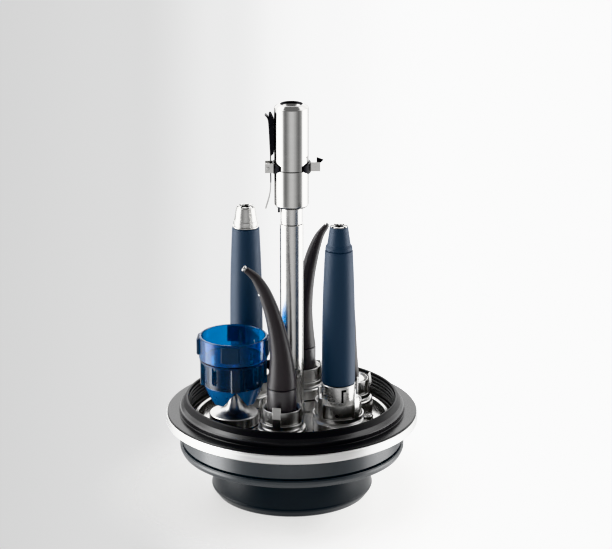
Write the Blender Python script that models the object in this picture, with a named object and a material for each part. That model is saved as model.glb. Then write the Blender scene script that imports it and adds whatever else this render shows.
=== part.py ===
"""Round carrier lid for dental handpieces, standing upside down on its grip knob.

A steel dish inside a black seal carries six stations on a ring round a tall post:
two curved handpieces, two straight sleeves, a slim instrument and a small basket.
Dimensions are in millimetres and are scaled to metres when the meshes are made.
The origin is on the lid's axis, on the surface that the knob stands on, +Z up.
"""
import math

import bmesh
import bpy
from mathutils import Vector

MM = 0.001

# --- lid ------------------------------------------------------------------
KNOB_FACE_R, KNOB_RIM_R, KNOB_NECK_R, KNOB_TOP = 42.0, 45.0, 43.6, 24.3
COVER_R, COVER_LOW, COVER_HIGH = 62.5, 24.6, 29.3
BAND_R, BAND_LOW, BAND_HIGH = 61.2, 29.9, 41.7
TRIM_R, TRIM_LOW, TRIM_HIGH = 70.0, 42.0, 47.1
FLANGE_TOP, SEAL_LIP_TOP = 48.0, 56.1
DISH_TOP, DISH_LOW, DISH_R = 44.0, 41.2, 57.0
GAP = 0.3

# --- stations -------------------------------------------------------------
STATION_R = 34.3
FRONT_ANGLE = 260.9          # the other five follow at 60 degree steps
SLEEVE_INSET = 1.2           # the two sleeve stations sit a little nearer to the post
CUP_LOW = DISH_TOP + GAP
CUP_TOP = 61.5
COLLAR_TOP = 71.1
SLEEVE_LOW = 71.4
SLEEVE_TOP = 146.8
LATCH_LOW, LATCH_RING_TOP = 51.8, 54.0

# --- post -----------------------------------------------------------------
POST_R, POST_TOP = 6.44, 155.4
NECK_R, NECK_TOP = 6.03, 185.8
HEAD_R, HEAD_LOW, HEAD_SEAM, HEAD_TOP = 9.38, 165.1, 186.2, 222.3
CLIP_LOW, CLIP_HIGH, CLIP_IN, CLIP_OUT = 184.5, 190.0, 9.75, 10.5
PIVOT_X, PIVOT_Z = -12.6, 187.2

# --- basket ---------------------------------------------------------------
WALL_R, RIM_R, RING_R = 16.3, 18.5, 18.9
BASKET_FOOT, BASKET_FLOOR, BASKET_SEAM, BASKET_TOP = 57.5, 67.2, 82.3, 95.3
LOBES, LEG_ANGLE, PAD_ANGLE = 4, 275.7, 266.0

# facets round a turned piece, by its size
BIG, MID, SMALL, TINY = 32, 16, 12, 10
HORN_SIDES = 14


for ob in list(bpy.data.objects):
    bpy.data.objects.remove(ob, do_unlink=True)


def material(name, colour, roughness, metallic):
    mat = bpy.data.materials.new(name)
    mat.use_nodes = True
    shader = mat.node_tree.nodes["Principled BSDF"]
    shader.inputs["Base Color"].default_value = (*colour, 1.0)
    shader.inputs["Roughness"].default_value = roughness
    shader.inputs["Metallic"].default_value = metallic
    mat.diffuse_color = (*colour, 1.0)
    return mat


STEEL = ("polished_steel", (0.62, 0.62, 0.61), 0.12, 1.0)
SATIN = ("brushed_trim", (0.72, 0.72, 0.72), 0.35, 1.0)
BLACK = ("seal_rubber", (0.015, 0.015, 0.016), 0.42, 0.0)
DARK = ("anthracite_plastic", (0.04, 0.045, 0.05), 0.4, 0.0)
NAVY = ("navy_sleeve", (0.016, 0.04, 0.075), 0.45, 0.0)
HORN = ("dark_handpiece", (0.05, 0.044, 0.045), 0.42, 0.0)
BLUE = ("basket_blue", (0.0, 0.1, 0.45), 0.12, 0.0)
ORING = ("o_ring_rubber", (0.02, 0.02, 0.02), 0.6, 0.0)
SEALED = ("inner_plastic", (0.2, 0.2, 0.2), 0.6, 0.0)


def close_up(bm):
    """Weld, clean and turn the faces of a closed body outwards."""
    bmesh.ops.remove_doubles(bm, verts=bm.verts, dist=1e-6)
    bmesh.ops.dissolve_degenerate(bm, edges=bm.edges, dist=1e-7)
    bmesh.ops.recalc_face_normals(bm, faces=bm.faces)
    if bm.calc_volume(signed=True) < 0:
        bmesh.ops.reverse_faces(bm, faces=bm.faces)


def put(name, bm, finish, at=(0.0, 0.0, 0.0), turn=0.0):
    """Make the node's object, with its own material, at a place in millimetres."""
    close_up(bm)
    mesh = bpy.data.meshes.new(name)
    bm.to_mesh(mesh)
    bm.free()
    mesh.materials.append(material(name + "_" + finish[0], *finish[1:]))
    mesh.shade_smooth()
    mesh.set_sharp_from_angle(angle=math.radians(35))
    ob = bpy.data.objects.new(name, mesh)
    ob.location = [c * MM for c in at]
    ob.rotation_euler = (0.0, 0.0, math.radians(turn))
    bpy.context.scene.collection.objects.link(ob)
    return ob


def spun(profile, steps, drop=(0.0, 0.0, 0.0)):
    """A turned body: (radius, height) points, from axis to axis or as a closed section."""
    bm = bmesh.new()
    verts = [bm.verts.new((r * MM, 0.0, (z - drop[2]) * MM)) for r, z in profile]
    edges = [bm.edges.new(pair) for pair in zip(verts, verts[1:])]
    if profile[0][0] > 0 or profile[-1][0] > 0:
        edges.append(bm.edges.new((verts[-1], verts[0])))
    bmesh.ops.spin(bm, geom=verts + edges, cent=(0, 0, 0), axis=(0, 0, 1),
                   angle=2 * math.pi, steps=steps, use_duplicate=False)
    close_up(bm)
    return bm


def turned(name, profile, steps, finish, at=(0.0, 0.0, 0.0), turn=0.0):
    return put(name, spun(profile, steps, at), finish, at, turn)


def block(low, high):
    bm = bmesh.new()
    bmesh.ops.create_cube(bm, size=1.0)
    for v in bm.verts:
        v.co = Vector([MM * (lo + (c + 0.5) * (hi - lo)) for c, lo, hi in zip(v.co, low, high)])
    return bm


def helper(name, bm):
    """A cutter or an addition that is used up by the next Boolean."""
    close_up(bm)
    mesh = bpy.data.meshes.new(name)
    bm.to_mesh(mesh)
    bm.free()
    ob = bpy.data.objects.new(name, mesh)
    ob.hide_render = True
    ob.display_type = "WIRE"
    bpy.context.scene.collection.objects.link(ob)
    return ob


def combine(target, tools, operation):
    """Run Booleans on an object and keep the result as its mesh."""
    for tool in tools:
        mod = target.modifiers.new("combine", "BOOLEAN")
        mod.operation = operation
        mod.solver = "EXACT"
        mod.object = tool
    bpy.context.view_layer.update()
    graph = bpy.context.evaluated_depsgraph_get()
    mesh = bpy.data.meshes.new_from_object(target.evaluated_get(graph))
    target.modifiers.clear()
    old, name = target.data, target.data.name
    target.data = mesh
    bpy.data.meshes.remove(old)
    mesh.name = name
    for tool in tools:
        bpy.data.objects.remove(tool, do_unlink=True)
    bm = bmesh.new()
    bm.from_mesh(mesh)
    bmesh.ops.remove_doubles(bm, verts=bm.verts, dist=2e-6)
    bmesh.ops.dissolve_degenerate(bm, edges=bm.edges, dist=1e-7)
    bm.to_mesh(mesh)
    bm.free()
    return target


def turned_about(bm, angle, offset=(0.0, 0.0, 0.0)):
    ca, sa = math.cos(math.radians(angle)), math.sin(math.radians(angle))
    for v in bm.verts:
        x, y, z = v.co
        v.co = Vector((ca * x - sa * y + offset[0] * MM, sa * x + ca * y + offset[1] * MM,
                       z + offset[2] * MM))
    return bm


def station(step):
    a = math.radians(FRONT_ANGLE + 60.0 * step)
    inset = {1: -SLEEVE_INSET, 4: SLEEVE_INSET}.get(step, 0.0)
    return (STATION_R * math.cos(a) + inset, STATION_R * math.sin(a), 0.0)


# ---------------------------------------------------------------- the lid
turned("knob", [
    (0.0, 0.0), (KNOB_FACE_R, 0.0), (KNOB_RIM_R - 0.4, 3.7), (KNOB_RIM_R, 4.6),
    (KNOB_RIM_R - 0.4, 5.6), (KNOB_NECK_R, KNOB_TOP), (KNOB_NECK_R - 3.0, KNOB_TOP),
    (KNOB_NECK_R - 3.5, 5.0), (9.0, 5.0), (9.0, KNOB_TOP), (3.4, KNOB_TOP), (3.4, 10.0), (0.0, 10.0),
], BIG, DARK)

turned("knob_screw", [
    (0.0, 10.5), (3.1, 10.5), (3.1, 28.1), (6.0, 28.1), (6.0, 29.7), (0.0, 29.7),
], TINY, STEEL)

turned("cover_plate", [
    (3.4, COVER_LOW), (COVER_R - 1.8, COVER_LOW), (COVER_R - 0.9, COVER_LOW + 0.6), (COVER_R, COVER_LOW + 2.6),
    (COVER_R, COVER_HIGH - 0.5), (COVER_R - 0.5, COVER_HIGH), (59.5, COVER_HIGH), (59.5, 30.1),
    (55.0, 30.1), (55.0, 27.8), (3.4, 27.8),
], BIG, DARK)

turned("cover_band", [
    (58.0, 30.5), (59.9, 30.5), (59.9, BAND_LOW), (BAND_R, BAND_LOW), (BAND_R, BAND_HIGH), (58.4, BAND_HIGH),
    (58.4, 35.2), (55.5, 35.2), (55.5, 32.5),
], BIG, DARK)

turned("trim_ring", [
    (58.0, TRIM_LOW), (TRIM_R, TRIM_LOW), (TRIM_R, TRIM_HIGH), (61.5, TRIM_HIGH),
    (61.5, 43.2), (58.0, 43.2),
], BIG, SATIN)

turned("seal_ring", [
    (57.4, 43.5), (61.2, 43.5), (61.2, TRIM_HIGH + GAP), (69.4, TRIM_HIGH + GAP), (69.0, FLANGE_TOP), (63.1, FLANGE_TOP),
    (62.5, 50.7), (60.5, 52.8), (59.2, 55.3), (58.5, SEAL_LIP_TOP), (57.7, SEAL_LIP_TOP - 0.5), (57.4, 54.0),
], BIG, BLACK)

dish = turned("dish", [
    (5.4, DISH_LOW), (DISH_R, DISH_LOW), (DISH_R, DISH_TOP + 0.2), (54.0, DISH_TOP), (52.6, DISH_TOP - 0.9),
    (50.4, DISH_TOP - 0.9), (49.2, DISH_TOP), (5.4, DISH_TOP),
], BIG, STEEL)

turned("dish_gasket", [(50.0, 40.3), (55.0, 40.3), (55.0, 40.9), (50.0, 40.9)], BIG, ORING)

manifold = turned("manifold_plate", [
    (5.4, 35.5), (58.1, 35.5), (58.1, 40.0), (5.4, 40.0),
], BIG, SEALED)

# three screws between the stations hold the dish to the plate below it
SCREW_R, SCREW_ANGLE = 42.4, FRONT_ANGLE - 26.1
for plate in (dish, manifold):
    holes = []
    for k in range(3):
        a = math.radians(SCREW_ANGLE + 120.0 * k)
        hole = spun([(0.0, 30.0), (1.7, 30.0), (1.7, 50.0), (0.0, 50.0)], TINY)
        holes.append(helper("hole", turned_about(hole, 0.0, (SCREW_R * math.cos(a), SCREW_R * math.sin(a), 0.0))))
    combine(plate, holes, "DIFFERENCE")
for k in range(3):
    a = math.radians(SCREW_ANGLE + 120.0 * k)
    turned("dish_screw_%d" % (k + 1), [
        (0.0, 36.5), (1.35, 36.5), (1.35, CUP_LOW), (3.1, CUP_LOW), (3.1, 45.0), (2.7, 45.4), (0.0, 45.4),
    ], TINY, STEEL, (SCREW_R * math.cos(a), SCREW_R * math.sin(a), 0.0))

# ---------------------------------------------------------------- the post
turned("post_tube", [
    (0.0, 30.5), (5.0, 30.5), (5.0, CUP_LOW), (POST_R, CUP_LOW), (POST_R, POST_TOP), (4.8, POST_TOP),
    (4.8, 60.0), (0.0, 60.0),
], MID, STEEL)
nut = turned("post_nut", [(0.0, 31.2), (9.0, 31.2), (9.0, 35.2), (0.0, 35.2)], 6, STEEL)
combine(nut, [helper("nut_bore", spun([(0.0, 28.0), (5.4, 28.0), (5.4, 40.0), (0.0, 40.0)], MID))], "DIFFERENCE")
turned("post_neck", [
    (0.0, 143.0), (4.5, 143.0), (4.5, POST_TOP + GAP), (NECK_R, POST_TOP + GAP), (NECK_R, NECK_TOP),
    (3.7, NECK_TOP), (3.7, 177.5), (0.0, 177.5),
], MID, STEEL)
turned("head_sleeve", [
    (6.35, HEAD_LOW), (HEAD_R - 0.9, HEAD_LOW), (HEAD_R, HEAD_LOW + 1.1), (HEAD_R, HEAD_SEAM), (6.35, HEAD_SEAM),
], MID, STEEL)
turned("head_cap", [
    (0.0, 178.0), (3.4, 178.0), (3.4, HEAD_SEAM + GAP), (HEAD_R, HEAD_SEAM + GAP), (HEAD_R, HEAD_TOP - 1.7),
    (6.7, HEAD_TOP), (6.2, HEAD_TOP), (4.6, HEAD_TOP - 2.6), (4.6, 208.0), (0.0, 208.0),
], MID, STEEL, (0.0, 0.0, HEAD_SEAM))
turned("head_insert", [(2.6, 208.3), (4.3, 208.3), (4.3, 216.0), (2.6, 216.0)], TINY, STEEL, (0.0, 0.0, HEAD_SEAM))

key = turned_about(block((6.75, -1.5, 67.5), (7.7, 1.5, 73.0)), 298.0)
put("post_key", key, STEEL)
turned("stop_pin", [(0.0, 162.0), (0.6, 162.0), (0.6, HEAD_LOW - GAP), (0.0, HEAD_LOW - GAP)], 8, STEEL, (-6.9, -1.6, 0.0))

# sheet clip: an open ring round the head, a clevis on the left, one ear on the right
OPEN_HALF = 40.0
bm = bmesh.new()
section = [(CLIP_IN, CLIP_LOW), (CLIP_OUT, CLIP_LOW), (CLIP_OUT, CLIP_HIGH), (CLIP_IN, CLIP_HIGH)]
start = math.radians(270.0 + OPEN_HALF)
verts = [bm.verts.new((r * MM * math.cos(start), r * MM * math.sin(start), (z - PIVOT_Z) * MM)) for r, z in section]
face = bm.faces.new(verts)
bmesh.ops.spin(bm, geom=[face], cent=(0, 0, 0), axis=(0, 0, 1),
               angle=math.radians(360.0 - 2 * OPEN_HALF), steps=20, use_duplicate=False)
for v in bm.verts:
    # both arms grow narrower towards their ends
    off = abs((math.degrees(math.atan2(v.co.y, v.co.x)) + 90.0 + 180.0) % 360.0 - 180.0) - OPEN_HALF
    if v.co.z < 0.0:
        v.co.z += 2.6 * MM * max(0.0, 1.0 - off / 42.0)
clip = put("clip", bm, STEEL, (0.0, 0.0, PIVOT_Z))
ears = []
# the bent-up point at the end of the right ear
flag = bmesh.new()
sides = [[flag.verts.new((x * MM, y * MM, z * MM)) for x, z in ((13.6, 189.2), (17.3, 191.2), (13.6, 192.6))]
         for y in (-0.42, 0.42)]
flag.faces.new(sides[0])
flag.faces.new(sides[1][::-1])
for k in range(3):
    flag.faces.new((sides[0][k], sides[0][(k + 1) % 3], sides[1][(k + 1) % 3], sides[1][k]))
ears.append(helper("flag", flag))
for low, high in (((-14.3, -3.9, CLIP_LOW + 0.2), (-9.3, -3.1, CLIP_HIGH - 0.2)),
                  ((-14.3, 3.1, CLIP_LOW + 0.2), (-9.3, 3.9, CLIP_HIGH - 0.2)),
                  ((10.2, -0.45, CLIP_LOW + 0.2), (15.6, 0.45, CLIP_HIGH - 0.2))):
    ears.append(helper("ear", block(low, high)))
combine(clip, ears, "UNION")
pivot = bmesh.new()
bmesh.ops.create_cone(pivot, cap_ends=True, segments=8, radius1=0.8 * MM, radius2=0.8 * MM, depth=12 * MM)
for v in pivot.verts:
    x, y, z = v.co
    v.co = Vector((x + PIVOT_X * MM, z, -y + PIVOT_Z * MM))
combine(clip, [helper("pivot", pivot)], "DIFFERENCE")

pin = bmesh.new()
bmesh.ops.create_cone(pin, cap_ends=True, segments=8, radius1=0.5 * MM, radius2=0.5 * MM, depth=8.6 * MM)
for v in pin.verts:
    x, y, z = v.co
    v.co = Vector((x, z, -y))
put("lever_pin", pin, STEEL, (PIVOT_X, 0.0, PIVOT_Z))

# the lever is one bent strip, rows are (x, z) along its middle, with two cheeks folded in on its upper arm
LEVER_LINE = [(-14.2, 216.4), (-13.0, 215.3), (-12.2, 212.6), (-11.75, 205.0), (-11.35, 196.0), (-11.25, 190.5),
              (-11.25, 184.0), (-11.25, 178.0), (-11.9, 171.5), (-14.0, 164.0)]
CHEEK = [(-11.3, 194.0), (-11.35, 196.0), (-11.75, 205.0), (-12.2, 212.6), (-12.2, 216.4), (-11.5, 217.4), (-10.7, 216.6),
         (-9.4, 213.4), (-9.4, 195.2)]
LEVER_T, LEVER_W = 0.6, 5.0
bm = bmesh.new()
rings = []
for i, (x, z) in enumerate(LEVER_LINE):
    a = Vector(LEVER_LINE[max(i - 1, 0)])
    b = Vector(LEVER_LINE[min(i + 1, len(LEVER_LINE) - 1)])
    t = (b - a).normalized()
    n = Vector((-t.y, t.x)) * LEVER_T / 2
    row = []
    for s, y in ((1, -1), (1, 1), (-1, 1), (-1, -1)):
        row.append(bm.verts.new(((x + s * n.x - PIVOT_X) * MM, y * LEVER_W / 2 * MM, (z + s * n.y - PIVOT_Z) * MM)))
    rings.append(row)
for a, b in zip(rings, rings[1:]):
    for k in range(4):
        bm.faces.new((a[k], a[(k + 1) % 4], b[(k + 1) % 4], b[k]))
bm.faces.new(rings[0])
bm.faces.new(rings[-1][::-1])
lever = put("clip_lever", bm, STEEL, (PIVOT_X, 0.0, PIVOT_Z))
cheeks = []
for low, high in ((-2.45, -1.85), (1.85, 2.45)):
    bm = bmesh.new()
    sides = [[bm.verts.new((x * MM, y * MM, z * MM)) for x, z in CHEEK] for y in (low, high)]
    bm.faces.new(sides[0])
    bm.faces.new(sides[1][::-1])
    for k in range(len(CHEEK)):
        n = (k + 1) % len(CHEEK)
        bm.faces.new((sides[0][k], sides[0][n], sides[1][n], sides[1][k]))
    cheeks.append(helper("cheek", bm))
combine(lever, cheeks, "UNION")


# ---------------------------------------------------------------- stations
def cup(name, wall_r, foot_r, bore_r, at):
    turned(name, [
        (2.5, CUP_LOW), (foot_r, CUP_LOW), (foot_r, 50.0), (foot_r - 0.5, 50.5), (wall_r, 50.6),
        (wall_r, CUP_TOP), (bore_r, CUP_TOP), (bore_r, 52.5), (2.5, 52.5),
    ], MID, STEEL, at)


def latch(name, inner_r, top, phase, at):
    """A ring round the cup with four upright prongs drawn up from its top."""
    steps = 16
    bm = spun([(inner_r, LATCH_LOW), (inner_r + 0.8, LATCH_LOW), (inner_r + 0.8, LATCH_RING_TOP),
               (inner_r, LATCH_RING_TOP)], steps)
    step = 360.0 / steps
    tops = []
    for f in bm.faces:
        c = f.calc_center_median()
        if f.normal.z > 0.9:
            a = math.degrees(math.atan2(c.y, c.x)) % 90.0
            if a < step:
                tops.append(f)
    grown = bmesh.ops.extrude_discrete_faces(bm, faces=tops)
    for f in grown["faces"]:
        bmesh.ops.translate(bm, verts=f.verts, vec=(0.0, 0.0, (top - LATCH_RING_TOP) * MM))
    put(name, bm, STEEL, at, phase - step / 2)


def horn(name, bend, at):
    """Curved handpiece: (height, sideways offset, radius) rows, swept to one side."""
    rows = [(73.15, 0.0, 8.1), (79.0, 0.2, 7.5), (91.0, -0.4, 6.1), (102.5, -2.1, 5.0), (114.5, -4.9, 4.2),
            (126.0, -8.9, 3.5), (133.6, -12.9, 2.7), (137.0, -15.9, 2.1), (139.5, -19.1, 1.65)]
    tip_start_r, tip_end_r, tip_length = 1.65, 1.45, 1.5
    ca, sa = math.cos(math.radians(bend)), math.sin(math.radians(bend))

    def sweep(line):
        bm = bmesh.new()
        rings = []
        for i, (z, off, r) in enumerate(line):
            a = line[max(i - 1, 0)]
            b = line[min(i + 1, len(line) - 1)]
            t = Vector((b[1] - a[1], 0.0, b[0] - a[0])).normalized() if i else Vector((0, 0, 1))
            if len(line) == 2:
                t = Vector((line[1][1] - line[0][1], 0.0, line[1][0] - line[0][0])).normalized()
            side = t.cross(Vector((0, 1, 0))).normalized()
            ring = []
            for k in range(HORN_SIDES):
                w = 2 * math.pi * k / HORN_SIDES
                p = Vector((off, 0.0, z)) + side * r * math.cos(w) + Vector((0, 1, 0)) * r * math.sin(w)
                ring.append(bm.verts.new((-(ca * p.x - sa * p.y) * MM, -(sa * p.x + ca * p.y) * MM, p.z * MM)))
            rings.append(ring)
        for a, b in zip(rings, rings[1:]):
            for k in range(HORN_SIDES):
                bm.faces.new((a[k], a[(k + 1) % HORN_SIDES], b[(k + 1) % HORN_SIDES], b[k]))
        bm.faces.new(rings[0])
        bm.faces.new(rings[-1][::-1])
        return bm

    put(name + "_body", sweep(rows), HORN, at)
    # the tip starts a little way off the end of the body, along the bend
    a, b = rows[-2], rows[-1]
    along = Vector((b[1] - a[1], b[0] - a[0])).normalized()
    first = Vector((b[1], b[0])) + along * 0.35
    last = first + along * tip_length
    put(name + "_tip", sweep([(first.y, first.x, tip_start_r), (last.y, last.x, tip_end_r)]), STEEL, at)
    turned(name + "_base", [(6.6, 55.0), (8.1, 55.0), (8.1, 72.85), (6.6, 72.85)], SMALL, HORN, at)


def horn_station(name, step, bend):
    at = station(step)
    cup(name + "_cup", 10.7, 13.3, 9.0, at)
    latch(name + "_latch", 11.2, 65.0, 256.0, at)
    turned(name + "_coupling", [
        (1.2, 52.8), (8.6, 52.8), (8.6, 54.6), (4.9, 54.8), (4.9, 72.5), (1.2, 72.5),
    ], SMALL, STEEL, at)
    turned(name + "_oring", [(5.2, 66.0), (6.3, 66.0), (6.3, 67.4), (5.2, 67.4)], SMALL, ORING, at)
    horn(name, bend, at)


def sleeve_station(name, step, nose_finish, nose_top):
    at = station(step)
    cup(name + "_cup", 12.7, 14.2, 9.8, at)
    latch(name + "_latch", 13.2, 71.0, 45.0, at)
    turned(name + "_collar", [
        (2.2, 52.8), (9.3, 52.8), (9.3, COLLAR_TOP), (5.2, COLLAR_TOP), (5.2, 90.0), (2.2, 90.0),
    ], MID, STEEL, at)
    turned(name + "_oring", [(5.5, 79.0), (6.6, 79.0), (6.6, 80.6), (5.5, 80.6)], SMALL, ORING, at)
    turned(name + "_sleeve", [
        (0.0, SLEEVE_TOP), (7.5, SLEEVE_TOP), (7.75, 142.0), (8.1, 134.0), (8.55, 122.0), (8.9, 106.0),
        (9.05, 90.0), (9.05, SLEEVE_LOW), (7.0, SLEEVE_LOW), (7.0, 93.0), (0.0, 93.0),
    ], MID, NAVY, at)
    turned(name + "_nose", [
        (0.0, SLEEVE_TOP + GAP), (7.3, SLEEVE_TOP + GAP), (7.2, 149.0), (6.5, 149.6), (4.85, nose_top), (3.9, nose_top),
        (3.9, 152.0), (0.0, 152.0),
    ], MID, nose_finish, at)
    turned(name + "_insert", [(2.2, 152.3), (3.6, 152.3), (3.6, nose_top - 0.6), (2.2, nose_top - 0.6)], TINY, STEEL, at)


horn_station("front", 0, 180.0)
sleeve_station("right", 1, NAVY, 160.2)
horn_station("rear", 3, 43.0)
sleeve_station("left", 4, STEEL, 159.2)

# slim instrument, mostly hidden in the right rear
at = station(2)
cup("slim_cup", 10.7, 13.3, 9.0, at)
latch("slim_latch", 11.2, 65.0, 256.0, at)
turned("slim_coupling", [(1.0, 52.8), (8.7, 52.8), (8.7, 61.2), (3.2, 61.2), (3.2, 70.0), (1.0, 70.0)], SMALL, STEEL, at)
turned("slim_body", [
    (0.0, 117.0), (1.8, 117.0), (2.4, 110.0), (3.2, 100.0), (3.7, 92.0), (4.15, 83.0), (4.6, 75.0), (5.3, 67.0), (5.55, 61.5),
    (3.6, 61.5), (3.6, 70.4), (0.0, 70.4),
], SMALL, HORN, at)
turned("slim_tip", [(0.0, 117.3), (1.4, 117.3), (1.0, 121.5), (0.0, 121.5)], TINY, STEEL, at)

# ---------------------------------------------------------------- basket
at = station(5)
turned("basket_stem", [
    (0.0, CUP_LOW), (13.6, CUP_LOW), (13.6, 50.0), (13.1, 50.5), (8.2, 51.3), (5.2, 53.2), (3.5, 56.2), (2.6, 60.0),
    (2.3, 63.0), (2.3, 69.4), (0.0, 69.4),
], MID, STEEL, at)

cup_body = turned("basket_cup", [
    (0.0, 71.0), (4.4, 70.6), (4.6, 68.6), (14.9, 68.6), (14.9, BASKET_SEAM), (RIM_R, BASKET_SEAM), (RIM_R, 80.9), (WALL_R, 80.9),
    (WALL_R, BASKET_FLOOR), (12.6, BASKET_FOOT), (11.2, BASKET_FOOT), (14.8, BASKET_FLOOR), (4.2, BASKET_FLOOR),
    (4.2, 63.5), (2.7, 63.5), (2.7, 69.8), (0.0, 69.8),
], 24, BLUE, at)
legs = []
for k in range(LOBES):
    # an upright leg under the rim, above the notch between two lobes
    legs.append(helper("leg", turned_about(block((15.6, -2.7, 67.5), (18.3, 2.7, 81.4)), LEG_ANGLE + 90.0 * k, at)))
combine(cup_body, legs, "UNION")
cutters = []
for k in range(LOBES):
    # inverted V between two lobes, open at the foot
    bm = bmesh.new()
    ring = []
    for r in (8.0, 24.0):
        ring.append([bm.verts.new((r * MM, y * MM, z * MM)) for y, z in
                     ((-8.6, BASKET_FOOT - 3.0), (8.6, BASKET_FOOT - 3.0), (0.8, BASKET_FLOOR - 0.4), (-0.8, BASKET_FLOOR - 0.4))])
    for i in range(4):
        bm.faces.new((ring[0][i], ring[0][(i + 1) % 4], ring[1][(i + 1) % 4], ring[1][i]))
    bm.faces.new(ring[0][::-1])
    bm.faces.new(ring[1])
    cutters.append(helper("vee", turned_about(bm, LEG_ANGLE + 90.0 * k, at)))
    slot = block((12.5, -1.65, 70.3), (20.0, 1.65, 80.2))
    cutters.append(helper("slot", turned_about(slot, LEG_ANGLE - 45.0 + 90.0 * k, at)))
combine(cup_body, cutters, "DIFFERENCE")

ring_body = turned("basket_ring", [
    (17.4, BASKET_SEAM + GAP), (RING_R, BASKET_SEAM + GAP), (RING_R, BASKET_TOP), (17.4, BASKET_TOP),
], 24, BLUE, at)
pads = []
for k in range(LOBES):
    pads.append(helper("pad", turned_about(block((18.2, -5.2, 85.2), (19.9, 5.2, 94.2)), PAD_ANGLE + 90.0 * k, at)))
combine(ring_body, pads, "UNION")

bpy.context.view_layer.update()
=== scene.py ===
"""Looks of the round carrier lid with its plug-in handpieces: fine shapes, finishes, light and camera.

Lengths in the shapes are millimetres; meshes are made in metres. Every turned piece
has its origin on its own axis, so that its finish can run round that axis.
"""
import math

import bmesh
import bpy
from mathutils import Matrix, Vector


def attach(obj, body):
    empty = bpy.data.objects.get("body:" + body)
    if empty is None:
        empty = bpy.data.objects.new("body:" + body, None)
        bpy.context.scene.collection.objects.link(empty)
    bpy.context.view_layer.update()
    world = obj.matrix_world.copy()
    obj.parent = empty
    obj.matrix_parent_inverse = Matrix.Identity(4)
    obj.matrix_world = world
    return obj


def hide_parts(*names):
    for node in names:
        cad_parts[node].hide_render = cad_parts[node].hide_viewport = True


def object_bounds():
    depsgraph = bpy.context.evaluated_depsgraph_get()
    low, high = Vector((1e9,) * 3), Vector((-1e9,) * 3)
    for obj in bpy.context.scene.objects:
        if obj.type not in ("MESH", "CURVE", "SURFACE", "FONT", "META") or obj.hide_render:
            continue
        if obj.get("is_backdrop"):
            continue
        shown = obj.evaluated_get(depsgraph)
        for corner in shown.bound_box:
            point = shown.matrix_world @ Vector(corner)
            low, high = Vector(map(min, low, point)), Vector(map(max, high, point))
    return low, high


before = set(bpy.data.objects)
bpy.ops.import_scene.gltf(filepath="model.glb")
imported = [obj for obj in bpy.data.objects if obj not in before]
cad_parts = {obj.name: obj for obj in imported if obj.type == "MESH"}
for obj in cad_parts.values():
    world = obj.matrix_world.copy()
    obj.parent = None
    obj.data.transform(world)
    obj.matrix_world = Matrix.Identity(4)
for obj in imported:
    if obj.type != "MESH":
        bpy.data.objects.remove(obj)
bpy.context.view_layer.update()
scene = bpy.context.scene
scene.view_settings.view_transform = "Khronos PBR Neutral"

MM = 0.001
STATION_R, FRONT_ANGLE = 34.3, 260.9
GAP = 0.3
BIG, MID, SMALL = 192, 96, 48


def station(step):
    a = math.radians(FRONT_ANGLE + 60.0 * step)
    inset = {1: -1.2, 4: 1.2}.get(step, 0.0)
    return (STATION_R * math.cos(a) + inset, STATION_R * math.sin(a), 0.0)


FRONT, RIGHT, SLIM, REAR, LEFT, BASKET = (station(k) for k in range(6))


# =========================================================================== shapes
def rounded(points):
    """Profile points as (r, z) or (r, z, radius): a radius turns that corner into an arc."""
    ring = points[0][0] > 0 or points[-1][0] > 0
    out = []
    for i, point in enumerate(points):
        p = Vector(point[:2])
        radius = point[2] if len(point) > 2 else 0.0
        if not radius or not (ring or 0 < i < len(points) - 1):
            out.append(p)
            continue
        a = Vector(points[i - 1][:2]) - p
        b = Vector(points[(i + 1) % len(points)][:2]) - p
        angle = a.angle(b)
        if angle > math.radians(178):
            out.append(p)
            continue
        reach = min(radius / math.tan(angle / 2), 0.48 * a.length, 0.48 * b.length)
        radius = reach * math.tan(angle / 2)
        a.normalize()
        b.normalize()
        centre = p + (a + b).normalized() * (radius / math.sin(angle / 2))
        first, last = p + a * reach - centre, p + b * reach - centre
        a0 = math.atan2(first.y, first.x)
        turn = (math.atan2(last.y, last.x) - a0 + math.pi) % (2 * math.pi) - math.pi
        steps = max(2, math.ceil(abs(turn) / math.radians(18)))
        for k in range(steps + 1):
            w = a0 + turn * k / steps
            out.append(centre + radius * Vector((math.cos(w), math.sin(w))))
    return out


def smooth_line(points, steps):
    """Points on a smooth curve through the given ones, which may have any number of values."""
    out = []
    for i in range(len(points) - 1):
        p0, p1 = points[max(i - 1, 0)], points[i]
        p2, p3 = points[i + 1], points[min(i + 2, len(points) - 1)]
        for k in range(steps):
            t = k / steps
            out.append(tuple(
                0.5 * (2 * b + (c - a) * t + (2 * a - 5 * b + 4 * c - d) * t * t + (3 * b - a - 3 * c + d) * t ** 3)
                for a, b, c, d in zip(p0, p1, p2, p3)))
    out.append(tuple(points[-1]))
    return out


def tidy(bm):
    bmesh.ops.remove_doubles(bm, verts=bm.verts, dist=1e-7)
    bmesh.ops.dissolve_degenerate(bm, edges=bm.edges, dist=1e-8)
    bmesh.ops.recalc_face_normals(bm, faces=bm.faces)
    if bm.calc_volume(signed=True) < 0:
        bmesh.ops.reverse_faces(bm, faces=bm.faces)
    return bm


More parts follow.
